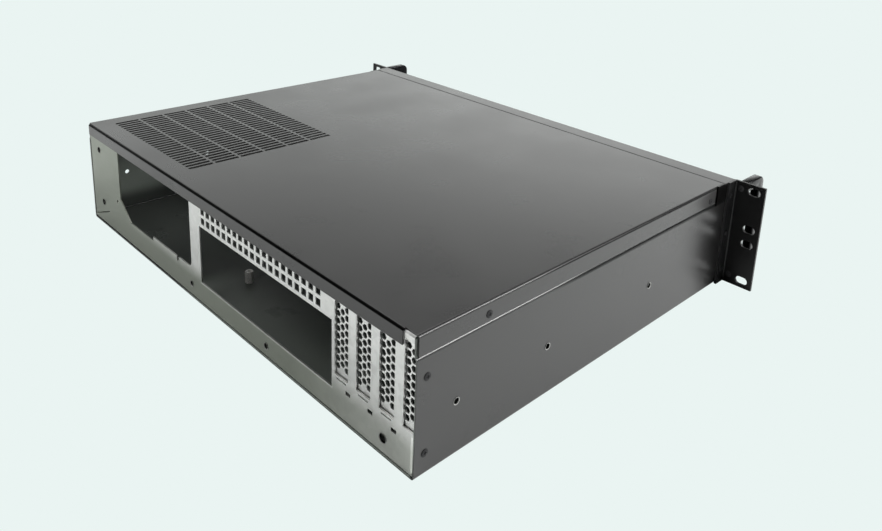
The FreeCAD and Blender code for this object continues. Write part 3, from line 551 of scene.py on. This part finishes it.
# Front controls
# A moulded housing with its small circuit board, switches, buttons, light guides and sockets. The
# board is screwed to the four posts of the housing.
def softened(name, new_name, rim, material, body="case"):
    """Stand-in for a CAD node with the same shape and its sharp edges rounded by rim."""
    piece = bpy.data.objects.new(new_name, nodes[name].data.copy())
    bpy.context.collection.objects.link(piece)
    deselect()
    piece.select_set(True)
    bpy.context.view_layer.objects.active = piece
    bpy.ops.object.mode_set(mode="EDIT")
    bpy.ops.mesh.select_all(action="SELECT")
    bpy.ops.mesh.remove_doubles(threshold=0.002 * mm)
    bpy.ops.mesh.dissolve_limited(angle_limit=math.radians(1))
    bpy.ops.object.mode_set(mode="OBJECT")
    edge = piece.modifiers.new("rim", "BEVEL")
    edge.width = rim
    edge.segments = 3
    edge.limit_method = "ANGLE"
    edge.angle_limit = math.radians(40)
    bpy.ops.object.modifier_apply(modifier="rim")
    bpy.ops.object.shade_smooth_by_angle(angle=math.radians(35))
    piece.data.materials.clear()
    piece.data.materials.append(material)
    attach(piece, body)
    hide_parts(name)


SOCKET_MIDDLES = (162.0 * mm, 188.0 * mm)
TONGUE_HALF_W = 5.85 * mm
TONGUE_Z = (34.0 * mm - 0.82 * mm, 34.0 * mm + 0.82 * mm)
CONTROL_POST_MIDDLE = 3.0 * mm

dress(plain("black_moulding", (0.020, 0.020, 0.021), (0.032, 0.032, 0.033), 0.55), "control_housing",
      "button_switches")
dress(plain("board_lacquer", (0.012, 0.075, 0.030), (0.018, 0.110, 0.045), 0.35), "control_board")
dress(plain("light_guide", (0.60, 0.63, 0.63), (0.72, 0.75, 0.75), 0.18), "indicator_lenses")
button_moulding = plain("button_moulding", (0.055, 0.055, 0.058), (0.075, 0.075, 0.078), 0.40)
softened("power_button", "power_button_cap", 0.5 * mm, button_moulding, "power_button")
softened("reset_button", "reset_button_cap", 0.35 * mm, button_moulding, "reset_button")

shell = Finish("socket_shell")
x, y, z = shell.axes()
tongue = z.between(TONGUE_Z[0], TONGUE_Z[0] + 0.02 * mm)
tongue = tongue * z.between(TONGUE_Z[1] - 0.02 * mm, TONGUE_Z[1], 1.0, 0.0)
across = [(x - middle).size().between(TONGUE_HALF_W, TONGUE_HALF_W + 0.02 * mm, 1.0, 0.0)
          for middle in SOCKET_MIDDLES]
tongue = tongue * (across[0] + across[1])
plating = shell.noise(3 * mm).tint((0.62, 0.62, 0.61), (0.74, 0.74, 0.73))
shell.set(Base_Color=tongue.tint(plating, (0.018, 0.018, 0.020)), Metallic=1 - tongue)
shell.set(Roughness=shell.noise(0.5 * mm).between(0.2, 0.8, 0.20, 0.30) + tongue * 0.25)
dress(shell.material, "usb_sockets")

board_low, board_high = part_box("control_board")
small_head = screw_head(radius=2.3 * mm, height=1.3 * mm, dome=0.6 * mm, socket_r=1.1 * mm,
                        socket_depth=0.9 * mm)
board_places = [(x, board_high[1], z)
                for x in (board_low[0] + CONTROL_POST_MIDDLE, board_high[0] - CONTROL_POST_MIDDLE)
                for z in (board_low[2] + CONTROL_POST_MIDDLE, board_high[2] - CONTROL_POST_MIDDLE)]
for number, place in enumerate(board_places):
    place_copy(small_head, "control_board_screw_%d" % (number + 1), place, (0, 1, 0), zinc_screw)
drop(small_head)


# Top cover
# Painted steel cover, flanged down both sides and across the rear, with its vent over the power
# supply. Its bends are darkened by place with a painted dark reflection, to match the photograph.
BEND = 1.3 * mm
BEND_CREST = 0.62 * mm
cover_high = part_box("top_cover")[1]


def cover_painted_reflection(x, y, z):
    """Painted dark reflection high along the rear bend, on the front half of the side bends and on the crest
    of their rear half.
    """
    bend = z.between(cover_high[2] - BEND - BLEND, cover_high[2] - BEND)
    crest = z.between(cover_high[2] - BEND_CREST - BLEND, cover_high[2] - BEND_CREST)
    rear = y.between(cover_high[1] - BEND - BLEND, cover_high[1] - BEND) * bend
    side = x.size().between(cover_high[0] - BEND - BLEND, cover_high[0] - BEND) * bend
    front = y.between(40 * mm, 95 * mm, 1.0, 0.0)
    return (rear + side * (front + crest * (1 - front)) * (1 - rear)) * 0.92


dress(satin_coat("cover_coat", BLACK, COAT_ROUGHNESS, dark=cover_painted_reflection), "top_cover")


# Countersunk screws in the sides
# Black screws with a cross recess: two at each end of the rear panel and two in each side flange of the
# cover.
SIDE_SCREWS = ((7.4, 61.5), (7.3, 14.3), (52.8, 80.0), (298.8, 78.8))
flush_head = screw_head(radius=2.45 * mm, height=0.40 * mm, dome=0.25 * mm, socket_r=1.35 * mm,
                        socket_depth=0.34 * mm)
for side, name in ((-1, "left"), (1, "right")):
    for number, (back, up) in enumerate(SIDE_SCREWS):
        place_copy(flush_head, "side_screw_%s_%d" % (name, number + 1),
                   (side * wall_x, rear_y - back * mm, up * mm), (side, 0, 0), black_screw)


# Rack ears
# Thick L brackets with a coat like the case's, made darker and duller to match the photograph, with a
# painted shade that is strong over the plate and weaker over the flange. Three screws hold each to its
# side wall.
EAR_T = 2.0 * mm
EAR_BLACK = (0.010, 0.010, 0.0105)
EAR_ROUGHNESS = 0.36
EAR_SCREW_FROM_FRONT = 7.6 * mm
EAR_SCREWS_Z = (12.0, 44.0, 76.0)


def ear_painted_shade(x, y, z):
    """Painted shade, strong over the plate and weaker over the flange that lies on the wall."""
    return x.size().between(wall_x + EAR_T - 0.2 * mm, wall_x + EAR_T + 0.4 * mm, 0.15, 0.72)


dress(satin_coat("ear_coat", EAR_BLACK, EAR_ROUGHNESS, dark=ear_painted_shade), "rack_ear_left", "rack_ear_right")
for side, name in ((-1, "left"), (1, "right")):
    for number, up in enumerate(EAR_SCREWS_Z):
        place_copy(flush_head, "ear_screw_%s_%d" % (name, number + 1),
                   (side * (wall_x + EAR_T), front_y + EAR_SCREW_FROM_FRONT, up * mm), (side, 0, 0),
                   black_screw)


# Handles
# Solid black bows with rounded edges, each held through its ear by two screws from behind.
HANDLE_SCREW_FROM_END = 4.4 * mm
handle_black = plain("handle_black", (0.005, 0.005, 0.0055), (0.009, 0.009, 0.0095), 0.22, 1.0)
for side, name in ((-1, "left"), (1, "right")):
    softened("handle_" + name, "bow_handle_" + name, 1.2 * mm, handle_black)
    low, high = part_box("handle_" + name)
    for number, z in enumerate((low[2] + HANDLE_SCREW_FROM_END, high[2] - HANDLE_SCREW_FROM_END)):
        place_copy(flush_head, "handle_screw_%s_%d" % (name, number + 1),
                   ((low[0] + high[0]) / 2, front_y + EAR_T, z), (0, 1, 0), black_screw)
drop(flush_head)
drop(pan_head)


# Floor, sky and lamps
# A pale floor and a dark sky, with a bright band beyond the front right corner and a brighter patch
# high above it. The key lamp stands high off the front left corner, and two weaker ones light the rear
# and the cover. Only the camera's own rays see the plain pale tone, which takes no shadow.
PALE = (0.823, 0.905, 0.888)
FLOOR_TONE = (0.83, 0.85, 0.84)
DARK_SKY = (0.01, 0.01, 0.01)
BAND_SKY = ((2.66, 2.73, 2.68), (1.70, 1.76, 1.72))
HIGH_SKY = (5.0, 5.1, 5.05)

deselect()
bpy.ops.mesh.primitive_plane_add(size=8.0, location=(0, 0, 0))
floor = bpy.context.object
floor.name = "floor"
ground = Finish("floor_pale")
ground.set(Base_Color=FLOOR_TONE, Roughness=0.9)
seen = ground.place.node("ShaderNodeEmission", {}, {"Color": PALE})
camera_ray = ground.place.node("ShaderNodeLightPath", {}, {}, "Is Camera Ray")
matt = Wave(ground.tree, ground.shader.outputs[0])
choice = ground.place.node("ShaderNodeMixShader", {}, {0: camera_ray, 1: matt, 2: seen})
plug(ground.tree, choice, ground.tree.nodes["Material Output"].inputs[0])
floor.data.materials.append(ground.material)

world = bpy.data.worlds.new("sky")
bpy.context.scene.world = world
world.use_nodes = True
tree = world.node_tree
direction = Wave(tree, tree.nodes.new("ShaderNodeTexCoord").outputs["Generated"])
x, y, height = [direction.node("ShaderNodeSeparateXYZ", {}, {0: direction}, i) for i in range(3)]
far_side = (x - y).between(0.4, 1.1)
around = (x + y).between(-0.25, 0.35)
band = height.between(0.05, 0.20) * height.between(0.24, 0.52, 1.0, 0.0) * far_side
sky = band.tint(DARK_SKY, around.tint(*BAND_SKY))
sky = (height.between(0.65, 0.80) * far_side).tint(sky, HIGH_SKY)
camera_ray = direction.node("ShaderNodeLightPath", {}, {}, "Is Camera Ray")
plug(tree, camera_ray.tint(sky, PALE), tree.nodes["Background"].inputs["Color"])


def lamp(name, place, aim, size, power):
    """Soft square lamp pointed at a place."""
    bpy.ops.object.light_add(type="AREA", location=place)
    light = bpy.context.object
    light.name = name
    light.data.size = size
    light.data.energy = power
    light.rotation_euler = (Vector(aim) - Vector(place)).to_track_quat("-Z", "Y").to_euler()


lamp("key", (-1.3, -1.25, 1.45), (0, 0, 0), 1.0, 90.0)
lamp("rear", (-0.1, 1.35, 0.65), (-0.05, 0.35, 0), 1.0, 7.0)
lamp("high", (0.15, 0.58, 1.3), (0.05, 0.1, 0), 0.7, 6.5)
